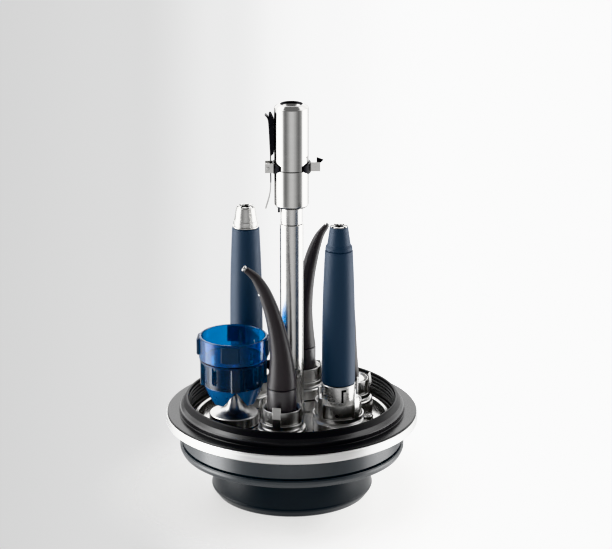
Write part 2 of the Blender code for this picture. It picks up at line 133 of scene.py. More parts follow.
def lathe(points, segs, wobble=None):
    """A turned body from a profile that runs from axis to axis or round a closed section."""
    line = rounded(points)
    bm = bmesh.new()
    rings = []
    for r, z in line:
        if r < 1e-6:
            rings.append([bm.verts.new((0.0, 0.0, z * MM))])
            continue
        ring = []
        for k in range(segs):
            a = 2 * math.pi * k / segs
            rr = r + (wobble(a, r, z) if wobble else 0.0)
            ring.append(bm.verts.new((rr * MM * math.cos(a), rr * MM * math.sin(a), z * MM)))
        rings.append(ring)
    pairs = list(zip(rings, rings[1:]))
    if line[0][0] > 0 or line[-1][0] > 0:
        pairs.append((rings[-1], rings[0]))
    for a, b in pairs:
        for k in range(segs):
            n = (k + 1) % segs
            if len(a) > 1 and len(b) > 1:
                bm.faces.new((a[k], a[n], b[n], b[k]))
            elif len(a) > 1:
                bm.faces.new((a[k], a[n], b[0]))
            elif len(b) > 1:
                bm.faces.new((a[0], b[n], b[k]))
    return tidy(bm)


def cells(columns, rows, keep, place, wrap=True):
    """The wall of a shell on a grid of columns and rows: only the kept cells are built.

    place(i, j, side) gives the point of a grid corner on the inner (0) or outer (1) side.
    """
    bm = bmesh.new()
    made = {}

    def corner(i, j, side):
        i = i % columns if wrap else i
        if (i, j, side) not in made:
            made[i, j, side] = bm.verts.new([c * MM for c in place(i, j, side)])
        return made[i, j, side]

    across = columns if wrap else columns - 1
    kept = {(i, j) for i in range(across) for j in range(rows - 1) if keep(i, j)}
    for i, j in kept:
        spots = ((i, j), (i + 1, j), (i + 1, j + 1), (i, j + 1))
        outer = [corner(*s, 1) for s in spots]
        inner = [corner(*s, 0) for s in spots]
        bm.faces.new(outer)
        bm.faces.new(inner[::-1])
        for di, dj, p, q in ((0, -1, 0, 1), (1, 0, 1, 2), (0, 1, 2, 3), (-1, 0, 3, 0)):
            beside = ((i + di) % columns if wrap else i + di, j + dj)
            if beside not in kept:
                bm.faces.new((outer[q], outer[p], inner[p], inner[q]))
    return tidy(bm)


def polar(r, degrees, z):
    a = math.radians(degrees)
    return (r * math.cos(a), r * math.sin(a), z)


def block(low, high, turn=0.0):
    bm = bmesh.new()
    bmesh.ops.create_cube(bm, size=1.0)
    for v in bm.verts:
        v.co = Vector([MM * (lo + (c + 0.5) * (hi - lo)) for c, lo, hi in zip(v.co, low, high)])
    bmesh.ops.rotate(bm, verts=bm.verts, cent=(0, 0, 0), matrix=Matrix.Rotation(math.radians(turn), 3, "Z"))
    return bm


def rod(radius, start, end, segs=24):
    """A plain round bar between two points, used as a cutter."""
    a, b = Vector(start) * MM, Vector(end) * MM
    bm = bmesh.new()
    bmesh.ops.create_cone(bm, cap_ends=True, segments=segs, radius1=radius * MM, radius2=radius * MM,
                          depth=(b - a).length)
    turn = Vector((0, 0, 1)).rotation_difference((b - a).normalized()).to_matrix().to_4x4()
    bmesh.ops.transform(bm, matrix=Matrix.Translation((a + b) / 2) @ turn, verts=bm.verts)
    return bm


def prism(outline, low, high, turn=0.0):
    """An outline in (y, z), drawn along X from low to high and turned about Z."""
    bm = bmesh.new()
    ends = [[bm.verts.new((x * MM, y * MM, z * MM)) for y, z in outline] for x in (low, high)]
    n = len(outline)
    bm.faces.new(ends[0][::-1])
    bm.faces.new(ends[1])
    for k in range(n):
        bm.faces.new((ends[0][k], ends[0][(k + 1) % n], ends[1][(k + 1) % n], ends[1][k]))
    bmesh.ops.rotate(bm, verts=bm.verts, cent=(0, 0, 0), matrix=Matrix.Rotation(math.radians(turn), 3, "Z"))
    return tidy(bm)


def spare(bm):
    mesh = bpy.data.meshes.new("spare")
    bm.to_mesh(mesh)
    bm.free()
    ob = bpy.data.objects.new("spare", mesh)
    scene.collection.objects.link(ob)
    return ob


def carve(bm, tools, operation="DIFFERENCE"):
    """Booleans between closed meshes; the result comes back as one mesh."""
    target = spare(bm)
    others = [spare(t) for t in tools]
    for other in others:
        mod = target.modifiers.new("carve", "BOOLEAN")
        mod.operation, mod.solver, mod.object = operation, "EXACT", other
    bpy.context.view_layer.update()
    mesh = bpy.data.meshes.new_from_object(target.evaluated_get(bpy.context.evaluated_depsgraph_get()))
    out = bmesh.new()
    out.from_mesh(mesh)
    for ob in (target, *others):
        old = ob.data
        bpy.data.objects.remove(ob, do_unlink=True)
        bpy.data.meshes.remove(old)
    bpy.data.meshes.remove(mesh)
    bmesh.ops.remove_doubles(out, verts=out.verts, dist=1e-6)
    bmesh.ops.dissolve_degenerate(out, edges=out.edges, dist=1e-7)
    return out


def piece(name, bm, finish, body, nodes=(), at=(0.0, 0.0, 0.0), bevel=0.0, sharp=32.0):
    """Turns a mesh into a piece of the object that rides on its body."""
    mesh = bpy.data.meshes.new(name)
    bm.to_mesh(mesh)
    bm.free()
    for mat in finish if isinstance(finish, (list, tuple)) else [finish]:
        mesh.materials.append(mat)
    mesh.shade_smooth()
    mesh.set_sharp_from_angle(angle=math.radians(sharp))
    ob = bpy.data.objects.new(name, mesh)
    ob.location = [c * MM for c in at]
    scene.collection.objects.link(ob)
    if bevel:
        mod = ob.modifiers.new("edges", "BEVEL")
        mod.width, mod.segments = bevel * MM, 2
        mod.limit_method, mod.angle_limit = "ANGLE", math.radians(35)
        mod.use_clamp_overlap = True
    mod = ob.modifiers.new("normals", "WEIGHTED_NORMAL")
    mod.keep_sharp = True
    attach(ob, body)
    if nodes:
        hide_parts(*([nodes] if isinstance(nodes, str) else nodes))
    return ob


# =========================================================================== finishes
def node(nt, kind, sockets=None, **props):
    n = nt.nodes.new(kind)
    for key, value in props.items():
        setattr(n, key, value)
    for key, value in (sockets or {}).items():
        if isinstance(value, bpy.types.NodeSocket):
            nt.links.new(value, n.inputs[key])
        else:
            n.inputs[key].default_value = value
    return n


def math_node(nt, operation, a, b=0.0):
    return node(nt, "ShaderNodeMath", {0: a, 1: b}, operation=operation).outputs[0]


def spread(nt, value, low, high, out_low, out_high):
    n = node(nt, "ShaderNodeMapRange", {"Value": value, "From Min": low, "From Max": high,
                                        "To Min": out_low, "To Max": out_high})
    return n.outputs["Result"]


def noise(nt, vector, scale, detail=3.0, roughness=0.55):
    n = node(nt, "ShaderNodeTexNoise", {"Vector": vector, "Scale": scale, "Detail": detail, "Roughness": roughness})
    return n.outputs["Fac"]


def blend(nt, factor, a, b):
    n = node(nt, "ShaderNodeMix", data_type="RGBA")
    nt.links.new(factor, n.inputs["Factor"])
    first, second = [s for s in n.inputs if s.type == "RGBA"]
    first.default_value, second.default_value = (*a, 1.0), (*b, 1.0)
    return next(s for s in n.outputs if s.type == "RGBA")


def turned_lines(nt, round_scale, along_scale):
    """Coordinates that change quickly along a turned piece and slowly round it."""
    where = node(nt, "ShaderNodeTexCoord").outputs["Object"]
    xyz = node(nt, "ShaderNodeSeparateXYZ", {0: where})
    flat = node(nt, "ShaderNodeCombineXYZ", {"X": xyz.outputs["X"], "Y": xyz.outputs["Y"]}).outputs[0]
    unit = node(nt, "ShaderNodeVectorMath", {0: flat}, operation="NORMALIZE").outputs["Vector"]
    radius = node(nt, "ShaderNodeVectorMath", {0: flat}, operation="LENGTH").outputs["Value"]
    run = math_node(nt, "MULTIPLY", math_node(nt, "ADD", radius, xyz.outputs["Z"]), along_scale)
    lift = node(nt, "ShaderNodeCombineXYZ", {"Z": run}).outputs[0]
    wide = node(nt, "ShaderNodeVectorMath", {0: unit, "Scale": round_scale}, operation="SCALE").outputs["Vector"]
    return node(nt, "ShaderNodeVectorMath", {0: wide, 1: lift}, operation="ADD").outputs["Vector"]


def start(name):
    mat = bpy.data.materials.new(name)
    mat.use_nodes = True
    nt = mat.node_tree
    return mat, nt, next(n for n in nt.nodes if n.type == "BSDF_PRINCIPLED")


def steel(name, colour, rough, lines=0.05, smudge=0.04, along=2200.0, bump=0.05, anisotropic=0.0, tone=0.05):
    """Turned and polished metal: fine lines round the axis and faint handling marks."""
    mat, nt, bsdf = start(name)
    line = noise(nt, turned_lines(nt, 1.4, along), 1.0, 2.0, 0.6)
    where = node(nt, "ShaderNodeTexCoord").outputs["Object"]
    mark = noise(nt, where, 95.0, 4.0, 0.6)
    low = [c * (1 - tone) for c in colour]
    high = [min(1.0, c * (1 + tone)) for c in colour]
    nt.links.new(blend(nt, spread(nt, line, 0.3, 0.7, 0.0, 1.0), low, high), bsdf.inputs["Base Color"])
    r = math_node(nt, "ADD", spread(nt, line, 0.3, 0.7, rough - lines / 2, rough + lines / 2),
                  spread(nt, mark, 0.45, 0.75, 0.0, smudge))
    nt.links.new(r, bsdf.inputs["Roughness"])
    bsdf.inputs["Metallic"].default_value = 1.0
    bsdf.inputs["Anisotropic"].default_value = anisotropic
    b = node(nt, "ShaderNodeBump", {"Height": line, "Strength": bump, "Distance": 0.00002})
    nt.links.new(b.outputs["Normal"], bsdf.inputs["Normal"])
    return mat


def moulded(name, dark, light, rough, grain, bump, specular=0.5, patch=0.08, coat=0.0, sheen=0.0, tint=(1.0, 1.0, 1.0)):
    """Moulded plastic or rubber: fine grain, slow change of tone, a little uneven gloss."""
    mat, nt, bsdf = start(name)
    where = node(nt, "ShaderNodeTexCoord").outputs["Object"]
    slow = noise(nt, where, 60.0, 3.0, 0.5)
    fine = noise(nt, where, grain, 2.0, 0.6)
    mixed = math_node(nt, "ADD", math_node(nt, "MULTIPLY", slow, 0.65), math_node(nt, "MULTIPLY", fine, 0.35))
    nt.links.new(blend(nt, spread(nt, mixed, 0.35, 0.65, 0.0, 1.0), dark, light), bsdf.inputs["Base Color"])
    r = math_node(nt, "ADD", spread(nt, slow, 0.3, 0.7, rough - patch / 2, rough + patch / 2),
                  spread(nt, fine, 0.4, 0.8, 0.0, patch * 0.6))
    nt.links.new(r, bsdf.inputs["Roughness"])
    bsdf.inputs["Specular IOR Level"].default_value = specular
    bsdf.inputs["Specular Tint"].default_value = (*tint, 1.0)
    bsdf.inputs["Coat Weight"].default_value = coat
    bsdf.inputs["Coat Roughness"].default_value = 0.2
    bsdf.inputs["Sheen Weight"].default_value = sheen
    bsdf.inputs["Sheen Roughness"].default_value = 0.35
    bsdf.inputs["Sheen Tint"].default_value = (0.66, 0.76, 1.0, 1.0)
    b = node(nt, "ShaderNodeBump", {"Height": fine, "Strength": bump, "Distance": 0.00006})
    nt.links.new(b.outputs["Normal"], bsdf.inputs["Normal"])
    return mat


def clear(name, dark, light, rough, through, coat=0.0):
    """Clear moulded plastic with faint flow marks and a glossy skin."""
    mat, nt, bsdf = start(name)
    where = node(nt, "ShaderNodeTexCoord").outputs["Object"]
    flow = noise(nt, where, 130.0, 3.0, 0.5)
    nt.links.new(blend(nt, spread(nt, flow, 0.3, 0.7, 0.0, 1.0), dark, light), bsdf.inputs["Base Color"])
    nt.links.new(spread(nt, flow, 0.3, 0.7, rough * 0.6, rough * 1.4), bsdf.inputs["Roughness"])
    bsdf.inputs["IOR"].default_value = 1.36
    bsdf.inputs["Transmission Weight"].default_value = through
    bsdf.inputs["Coat Weight"].default_value = coat
    bsdf.inputs["Coat Roughness"].default_value = 0.08
    bsdf.inputs["Coat IOR"].default_value = 1.55
    return mat


POLISHED = steel("polished_steel", (0.66, 0.655, 0.645), 0.1, lines=0.03, smudge=0.04, along=700.0, bump=0.004, tone=0.02)
TUBE = steel("drawn_tube", (0.66, 0.655, 0.645), 0.23, lines=0.04, smudge=0.05, along=500.0, bump=0.008, tone=0.02)
SATIN = steel("turned_satin", (0.63, 0.625, 0.615), 0.27, lines=0.08, smudge=0.06, along=1000.0, bump=0.04, tone=0.04)
SOCKET = steel("satin_socket", (0.68, 0.675, 0.665), 0.29, lines=0.04, smudge=0.03, along=1000.0, bump=0.02, tone=0.03)
STEM = steel("satin_stem", (0.68, 0.675, 0.665), 0.33, lines=0.04, smudge=0.03, along=1000.0, bump=0.02, tone=0.03)
# painted shade: a dim steel for the flank of the basket stem's foot
FLANK_SHADE = steel("painted_shade_flank", (0.3, 0.3, 0.3), 0.3, lines=0.04, smudge=0.05, along=1000.0, bump=0.02, tone=0.05)
MIRROR = steel("mirror_dish", (0.68, 0.675, 0.665), 0.14, lines=0.04, smudge=0.06, along=900.0, bump=0.02, tone=0.03)
TRIM = steel("brushed_band", (0.77, 0.77, 0.765), 0.34, lines=0.1, smudge=0.05, along=1700.0, bump=0.12,
             anisotropic=0.4, tone=0.04)
SPRING = steel("spring_steel", (0.6, 0.595, 0.585), 0.2, lines=0.06, smudge=0.06, along=900.0, bump=0.05)
# blacked steel for the stop pin and the lever's upper arm; the same dark is also painted shade in bores, slots and gaps
BLACKED_AND_SHADE = steel("blacked_steel_and_painted_shade", (0.03, 0.03, 0.032), 0.24, lines=0.1, smudge=0.08, along=1400.0, bump=0.06, tone=0.3)
SOOT = steel("dull_black_steel", (0.008, 0.008, 0.009), 0.3, lines=0.1, smudge=0.08, along=1400.0, bump=0.06, tone=0.3)
FASTENER = steel("fastener_steel", (0.58, 0.575, 0.565), 0.22, lines=0.1, smudge=0.1, along=2600.0, bump=0.08)
ANTHRACITE = moulded("anthracite_shell", (0.03, 0.038, 0.045), (0.037, 0.046, 0.054), 0.2, 2600.0, 0.03, specular=1.0, patch=0.05)
KNOB = moulded("anthracite_knob", (0.012, 0.017, 0.022), (0.015, 0.021, 0.027), 0.3, 2600.0, 0.03, specular=0.38, patch=0.05)
RUBBER = moulded("seal_moulding", (0.015, 0.015, 0.016), (0.019, 0.019, 0.02), 0.19, 2100.0, 0.03, specular=0.47, patch=0.05)
RUBBER_EDGE = moulded("seal_edge", (0.015, 0.015, 0.016), (0.019, 0.019, 0.02), 0.19, 2100.0, 0.03, specular=0.95, patch=0.05)
# painted shade: a duller, slightly darker copy of the seal rubber for the ribbed inside and the lip
RUBBER_DULL_SHADE = moulded("seal_dull_painted_shade", (0.01, 0.01, 0.011), (0.014, 0.014, 0.015), 0.3, 2100.0, 0.03, specular=0.24, patch=0.05)
NAVY = moulded("soft_navy", (0.0145, 0.033, 0.061), (0.018, 0.0395, 0.072), 0.55, 3200.0, 0.04, specular=1.0, patch=0.05,
               sheen=0.34, tint=(0.74, 0.84, 1.0))
HORN = moulded("warm_dark_coat", (0.058, 0.054, 0.056), (0.07, 0.065, 0.068), 0.37, 2800.0, 0.04, specular=0.45, patch=0.05)
# painted light: the horn's coat made lighter and glossier for the foot
HORN_FOOT_LIT = moulded("warm_dark_foot_painted_light", (0.068, 0.065, 0.068), (0.082, 0.078, 0.082), 0.3, 2800.0, 0.04, specular=0.85, patch=0.05)
ORING = moulded("o_ring", (0.008, 0.008, 0.008), (0.016, 0.015, 0.015), 0.55, 1800.0, 0.12)
SEAM = moulded("seam_gasket", (0.014, 0.009, 0.008), (0.024, 0.016, 0.013), 0.5, 1800.0, 0.12, specular=0.3)
INNER = moulded("inner_plate", (0.12, 0.12, 0.118), (0.2, 0.2, 0.195), 0.55, 1500.0, 0.12)
BLUE = clear("clear_royal_blue", (0.0, 0.235, 0.62), (0.002, 0.27, 0.67), 0.06, 0.88, 0.5)
# painted shade and light in the basket cup: its wall a deeper blue than the hoop, its skirt lighter and milkier, its
# floor the darkest
BLUE_WALL_SHADE = clear("clear_blue_wall_painted_shade", (0.002, 0.08, 0.2), (0.005, 0.1, 0.25), 0.1, 0.86, 0.4)
MILKY_SKIRT_LIT = clear("milky_blue_skirt_painted_light", (0.012, 0.15, 0.43), (0.018, 0.19, 0.5), 0.34, 0.35, 0.6)
UNDER_SHADE = clear("blue_floor_painted_shade", (0.001, 0.012, 0.04), (0.002, 0.016, 0.05), 0.25, 0.2)
FROSTED = clear("frosted_slate_blue", (0.045, 0.082, 0.145), (0.06, 0.105, 0.18), 0.4, 0.4)

# =========================================================================== the lid
LID = "lid"

piece("knob_shell", lathe([
    (0.0, 0.0), (42.0, 0.0, 1.0), (44.6, 3.6, 0.6), (45.0, 4.6, 0.4), (44.65, 5.3, 0.4), (44.5, 7.4, 1.0), (43.6, 24.3, 0.3),
    (40.6, 24.3, 0.3), (40.1, 5.0, 1.5), (9.0, 5.0, 1.0), (9.0, 24.3, 0.3), (3.4, 24.3, 0.3), (3.4, 10.0), (0.0, 10.0),
], BIG), KNOB, LID, "knob")

piece("cover_plate_shell", lathe([
    (3.4, 24.6), (60.5, 24.6, 0.7), (61.6, 25.2, 0.5), (62.5, 27.2, 1.0), (62.5, 28.7, 0.35), (62.05, 29.35, 0.3),
    (60.1, 29.35, 0.2), (59.5, 30.1, 0.2), (55.0, 30.1), (55.0, 27.8), (3.4, 27.8),
], BIG), ANTHRACITE, LID, "cover_plate")

piece("cover_band_shell", lathe([
    (58.0, 30.5), (59.9, 30.5), (59.9, 29.9, 0.1), (60.95, 29.9, 0.2), (61.2, 30.25, 0.2), (61.2, 41.1, 0.3), (60.9, 41.7, 0.2),
    (58.4, 41.7), (58.4, 35.2), (55.5, 35.2), (55.5, 32.5),
], BIG), ANTHRACITE, LID, "cover_band")

piece("trim_ring_band", lathe([
    (58.0, 42.0), (69.6, 42.0, 0.25), (70.0, 42.5, 0.3), (70.0, 46.7, 0.3), (69.6, 47.1, 0.2), (61.5, 47.1), (61.5, 43.2),
    (58.0, 43.2),
], BIG), TRIM, LID, "trim_ring")

ribs = []
for z in (53.6, 51.5, 49.4, 47.3):
    ribs += [(57.4, z + 0.85, 0.2), (56.75, z + 0.2, 0.25), (56.75, z - 0.2, 0.25), (57.4, z - 0.85, 0.2)]
seal = lathe([
    (57.4, 43.5), (61.2, 43.5), (61.2, 47.4), (69.25, 47.4, 0.1), (69.4, 47.55, 0.1), (69.05, 48.0, 0.12), (62.85, 48.0, 0.2),
    (62.6, 48.3, 0.2), (62.5, 50.8, 0.5), (61.75, 51.05, 0.35), (60.45, 52.75, 0.15), (58.95, 55.6, 0.7), (58.2, 56.1, 0.5),
    (57.55, 55.6, 0.4),
] + ribs, BIG)
for f in seal.faces:
    # the ribbed inside and the lip are duller than the rest and a little darker, a painted shade; the ledge below the
    # lip is worn smooth
    c = f.calc_center_median() / MM
    away = math.hypot(c.x, c.y)
    f.material_index = 1 if c.z > 52.8 or (away < 57.45 and c.z > 43.6) else 2 if away > 60.3 and c.z > 50.4 else 0
piece("seal_moulded_ring", seal, [RUBBER, RUBBER_DULL_SHADE, RUBBER_EDGE], LID, "seal_ring")

SCREW_R, SCREW_ANGLE = 42.4, FRONT_ANGLE - 26.1
screw_spots = [polar(SCREW_R, SCREW_ANGLE + 120.0 * k, 0.0) for k in range(3)]
piece("dish_pan", carve(lathe([
    (5.4, 41.2), (57.0, 41.2, 0.2), (57.0, 44.2, 0.3), (54.0, 44.0, 0.5), (53.1, 43.2, 0.5), (50.2, 43.1, 0.5), (49.3, 44.0, 0.5),
    (5.4, 44.0, 0.15),
], BIG), [rod(1.7, (x, y, 38.0), (x, y, 48.0)) for x, y, _ in screw_spots]),
    MIRROR, LID, "dish")

for k, spot in enumerate(screw_spots):
    head = lathe([
        (0.0, 36.5), (1.35, 36.5, 0.2), (1.35, 44.3), (3.1, 44.3, 0.15), (3.1, 44.9, 0.3), (2.7, 45.35, 0.2), (2.35, 45.35, 0.1),
        (2.2, 44.95, 0.1), (1.8, 44.95, 0.1), (1.6, 45.4, 0.1), (0.0, 45.55),
    ], SMALL)
    head = carve(head, [block((-4.0, -0.32, 45.0), (4.0, 0.32, 47.0), 25.0 + 70.0 * k)])
    piece("dish_screw_head_%d" % (k + 1), head, FASTENER, LID, "dish_screw_%d" % (k + 1), spot)

# =========================================================================== the post
piece("post_tube_polished", lathe([
    (0.0, 30.5), (5.0, 30.5, 0.3), (5.0, 44.3), (6.44, 44.3, 0.2), (6.44, 155.4, 0.22), (4.8, 155.4, 0.15), (4.8, 60.0), (0.0, 60.0),
], MID), TUBE, LID, "post_tube")
piece("post_neck_polished", lathe([
    (0.0, 143.0), (4.5, 143.0, 0.3), (4.5, 155.7), (6.03, 155.7, 0.2), (6.03, 185.8, 0.2), (3.7, 185.8), (3.7, 177.5), (0.0, 177.5),
], MID), TUBE, LID, "post_neck")
piece("head_sleeve_polished", lathe([
    (6.35, 165.1, 0.2), (8.3, 165.1, 0.6), (9.38, 166.4, 1.0), (9.38, 186.2, 0.25), (6.35, 186.2),
], MID), POLISHED, LID, "head_sleeve")
cap = lathe([
    (0.0, 178.0), (3.4, 178.0, 0.3), (3.4, 186.5), (9.38, 186.5, 0.25), (9.38, 220.4, 0.9), (7.5, 221.9, 0.6), (6.8, 222.3, 0.3),
    (6.2, 222.3, 0.15), (5.55, 220.95), (4.9, 219.6, 0.6), (4.6, 217.5, 0.6), (4.6, 208.0), (0.0, 208.0),
], MID)
for f in cap.faces:
    # the bore and the edge of its mouth are painted dark: painted shade in the opening
    c = f.calc_center_median() / MM
    r = math.hypot(c.x, c.y)
    f.material_index = 1 if c.z > 207.5 and (r < 5.0 or 5.56 < r < 6.2) else 0
piece("head_cap_polished", cap, [POLISHED, BLACKED_AND_SHADE], "cap", "head_cap", (0.0, 0.0, 0.0))
piece("head_bush", lathe([
    (2.6, 208.3, 0.2), (4.3, 208.3, 0.2), (4.3, 215.6, 0.3), (3.9, 216.0, 0.2), (2.9, 216.0, 0.3), (2.6, 215.5, 0.2),
], SMALL), FASTENER, "cap", "head_insert")

key = carve(block((6.72, -1.5, 67.5), (7.7, 1.5, 73.0)), [block((7.3, -0.35, 68.6), (8.5, 0.35, 71.9))])
bmesh.ops.rotate(key, verts=key.verts, cent=(0, 0, 0), matrix=Matrix.Rotation(math.radians(298.0), 3, "Z"))
piece("post_key_block", key, SPRING, LID, "post_key", bevel=0.15)
piece("stop_pin_turned", lathe([(0.0, 162.0), (0.6, 162.0, 0.25), (0.6, 164.8), (0.0, 164.8)], 24), BLACKED_AND_SHADE, LID, "stop_pin",
      (-6.9, -1.6, 0.0))

# the clip: a blacked open ring with bright ears folded out of its ends
OPEN_HALF = 40.0
steps = 72


def ring_spot(i, j, side):
    a = 270.0 + OPEN_HALF + (360.0 - 2 * OPEN_HALF) * i / steps
    # both arms are drawn in at their ends
    end = max(0.0, 1.0 - (360.0 - 2 * OPEN_HALF) * min(i, steps - i) / steps / 20.0)
    z = (184.5 + 1.9 * end, 184.9 + 1.9 * end, 189.6 - 1.3 * end, 190.0 - 1.3 * end)[j]
    return polar((9.72, 10.5)[side], a, z)


ring = cells(steps + 1, 4, lambda i, j: True, ring_spot, wrap=False)
ears = [block((-14.3, -3.9, 184.7), (-9.4, -3.1, 189.8)), block((-14.3, 3.1, 184.7), (-9.4, 3.9, 189.8)),
        block((10.2, -0.45, 184.7), (15.6, 0.45, 189.8))]
flag = bmesh.new()
sides = [[flag.verts.new((x * MM, y * MM, z * MM)) for x, z in ((13.6, 189.2), (15.6, 189.5), (17.3, 191.2), (13.6, 192.6))]
         for y in (-0.42, 0.42)]
flag.faces.new(sides[0])
flag.faces.new(sides[1][::-1])
for k in range(4):
    flag.faces.new((sides[0][k], sides[0][(k + 1) % 4], sides[1][(k + 1) % 4], sides[1][k]))
clip = carve(ring, ears + [tidy(flag)], "UNION")
clip = carve(clip, [rod(0.8, (-12.6, -6.0, 187.2), (-12.6, 6.0, 187.2)), block((12.6, -0.6, 183.0), (13.0, -0.25, 191.0))])
for f in clip.faces:
    c = f.calc_center_median() / MM
    f.material_index = 1 if math.hypot(c.x, c.y) < 10.7 else 0
    if c.z > 190.1:
        f.material_index = 1
piece("clip_spring_ring", clip, [SPRING, SOOT], "clip", "clip")

piece("lever_pin_turned", carve(rod(0.5, (0, -4.3, 0), (0, 4.3, 0)), [
    rod(0.75, (0, -4.6, 0), (0, -4.0, 0)), rod(0.75, (0, 4.0, 0), (0, 4.6, 0))], "UNION"),
    FASTENER, "lever", "lever_pin", (-12.6, 0.0, 187.2), bevel=0.1)

LEVER_LINE = [(-14.2, 216.4), (-13.0, 215.3), (-12.2, 212.6), (-11.75, 205.0), (-11.35, 196.0), (-11.25, 190.5),
              (-11.25, 184.0), (-11.25, 178.0), (-11.9, 171.5), (-14.0, 164.0)]
CHEEK = [(-11.3, 193.6), (-11.35, 196.0), (-11.75, 205.0), (-12.2, 212.6), (-12.25, 216.3), (-12.0, 217.1), (-11.5, 217.4),
         (-11.0, 217.1), (-10.6, 216.4), (-9.5, 213.8), (-9.4, 212.8), (-9.4, 196.4), (-9.8, 195.0)]
line = smooth_line(LEVER_LINE, 6)
lever = bmesh.new()
rows = []
for i, (x, z) in enumerate(line):
    t = (Vector(line[min(i + 1, len(line) - 1)]) - Vector(line[max(i - 1, 0)])).normalized()
    n = Vector((-t.y, t.x)) * 0.3
    run = i / (len(line) - 1)
    wide = 2.5 * (1.0 - 0.35 * max(0.0, run - 0.75) / 0.25 - 0.3 * max(0.0, 0.08 - run) / 0.08)
    rows.append([lever.verts.new(((x + s * n.x) * MM, y * wide * MM, (z + s * n.y) * MM))
                 for s, y in ((1, -1), (1, -0.5), (1, 0.5), (1, 1), (-1, 1), (-1, 0.5), (-1, -0.5), (-1, -1))])
for a, b in zip(rows, rows[1:]):
    for k in range(8):
        lever.faces.new((a[k], a[(k + 1) % 8], b[(k + 1) % 8], b[k]))
lever.faces.new(rows[0])
lever.faces.new(rows[-1][::-1])
tidy(lever)
cheeks = []
for near, far in ((-2.45, -1.85), (1.85, 2.45)):
    cheek = bmesh.new()
    flanks = [[cheek.verts.new((x * MM, y * MM, z * MM)) for x, z in CHEEK] for y in (near, far)]
    cheek.faces.new(flanks[0])
    cheek.faces.new(flanks[1][::-1])
    for k in range(len(CHEEK)):
        n = (k + 1) % len(CHEEK)
        cheek.faces.new((flanks[0][k], flanks[0][n], flanks[1][n], flanks[1][k]))
    cheeks.append(tidy(cheek))
lever = carve(lever, cheeks, "UNION")
# the upper arm and its cheeks are blacked; the cheeks fill the dark gap beside the head, so their black is partly
# painted shadow
for f in lever.faces:
    f.material_index = 1 if f.calc_center_median().z > 179.5 * MM else 0
piece("clip_lever_strip", lever, [SPRING, BLACKED_AND_SHADE], "lever", "clip_lever")


# =========================================================================== stations
def cup(name, wall, foot, bore, at, holes=()):
    bm = lathe([
        (2.5, 44.3), (foot, 44.3, 0.25), (foot, 49.9, 0.45), (foot - 0.5, 50.45, 0.3), (wall + 0.5, 50.6, 0.5), (wall, 51.4, 0.5),
        (wall, 61.5, 0.2), (wall - 0.4, 61.5, 0.12), (bore + 0.15, 59.6, 0.3), (bore, 58.8, 0.3), (bore, 52.5, 0.3), (2.5, 52.5),
    ], MID)
    tools = [rod(r, polar(bore - 0.5, a, z), polar(wall + 4.0, a, z)) for r, a, z in holes]
    piece(name + "_cup_turned", carve(bm, tools) if tools else bm, SOCKET, LID, name + "_cup", at)
    for k, (r, a, z) in enumerate(holes):
        # each side hole holds a small dark cap just inside it: painted shade that keeps the hole dark
        plug = lathe([(0.0, -1.2), (r - 0.05, -1.2, 0.1), (r - 0.05, -0.5, 0.1), (r * 0.6, -0.4, 0.1), (r * 0.5, -0.8, 0.1), (0.0, -0.9)], 24)
        aim = Vector((math.cos(math.radians(a)), math.sin(math.radians(a)), 0.0))
        spot = Matrix.Translation(Vector(polar(wall, a, z)) * MM)
        bmesh.ops.transform(plug, matrix=spot @ Vector((0, 0, 1)).rotation_difference(aim).to_matrix().to_4x4(), verts=plug.verts)
        piece("%s_cup_hole_shade_%d" % (name, k + 1), plug, ORING, LID, (), at)


def latch_columns(phase, cuts, between):
    """Angles of the grid round a latch: every prong's own edges, and even steps between prongs."""
    out = []
    for k in range(4):
        c = phase + 90.0 * k
        out += [c + d for d in cuts]
        first, last = c + cuts[-1], c + 90.0 + cuts[0]
        out += [first + (last - first) * n / between for n in range(1, between)]
    return out


def off_prong(a, phase):
    """Signed angle from the nearest prong's middle."""
    return (a - phase + 45.0) % 90.0 - 45.0


def square_latch(name, inner, phase, at):
    """Ring with four upright prongs; each ends in a thicker flat tab whose face leans back."""
    half = 11.25
    angles = latch_columns(phase, [-half, -half / 2, 0.0, half / 2, half], 8)
    heights = [51.8, 52.9, 54.0, 56.2, 58.3, 58.55, 61.5, 64.9]

    def place(i, j, side):
        a, z = angles[i], heights[j]
        d = off_prong(a, phase)
        r = inner + (0.8 if side else 0.0)
        if side and z > 58.4:
            r = inner + 1.45 - 0.95 * (z - 58.5) / 6.5
        if abs(d) <= half + 0.01 and z > 54.0:
            r /= math.cos(math.radians(d))
        return polar(r, a, z)

    def keep(i, j):
        return j < 2 or abs(off_prong(angles[i] + 0.5, phase)) < half

    piece(name + "_latch_prongs", cells(len(angles), len(heights), keep, place), SOCKET, LID, name + "_latch",
          at, bevel=0.12)


def post_latch(name, inner, phase, at):
    """Ring with four blocks beside the cup, each drawn out at one edge into a thin post."""
    wide, thin = 7.2, 4.4
    angles = latch_columns(phase, [-wide, -thin, 0.0, thin, wide], 10)
    heights = [51.8, 52.9, 54.0, 58.0, 62.0, 65.3, 68.0, 70.6, 71.0]

    def place(i, j, side):
        a, z = angles[i], heights[j]
        r = inner + (0.8 if side else 0.0)
        d = off_prong(a, phase)
        if side and abs(d) <= wide + 0.01 and 54.0 < z <= 65.4:
            r = inner + 1.35 - 0.045 * (z - 54.0)
        if abs(d) <= wide + 0.01 and z > 54.0:
            r /= math.cos(math.radians(d))
        if side and z > 70.8:
            r -= 0.3
        return polar(r, a, z)

    def keep(i, j):
        d = off_prong(angles[i] + 0.5, phase)
        return j < 2 or (j < 5 and abs(d) < wide) or -wide < d < -thin

    piece(name + "_latch_prongs", cells(len(angles), len(heights), keep, place), SOCKET, LID, name + "_latch",
          at, bevel=0.12)


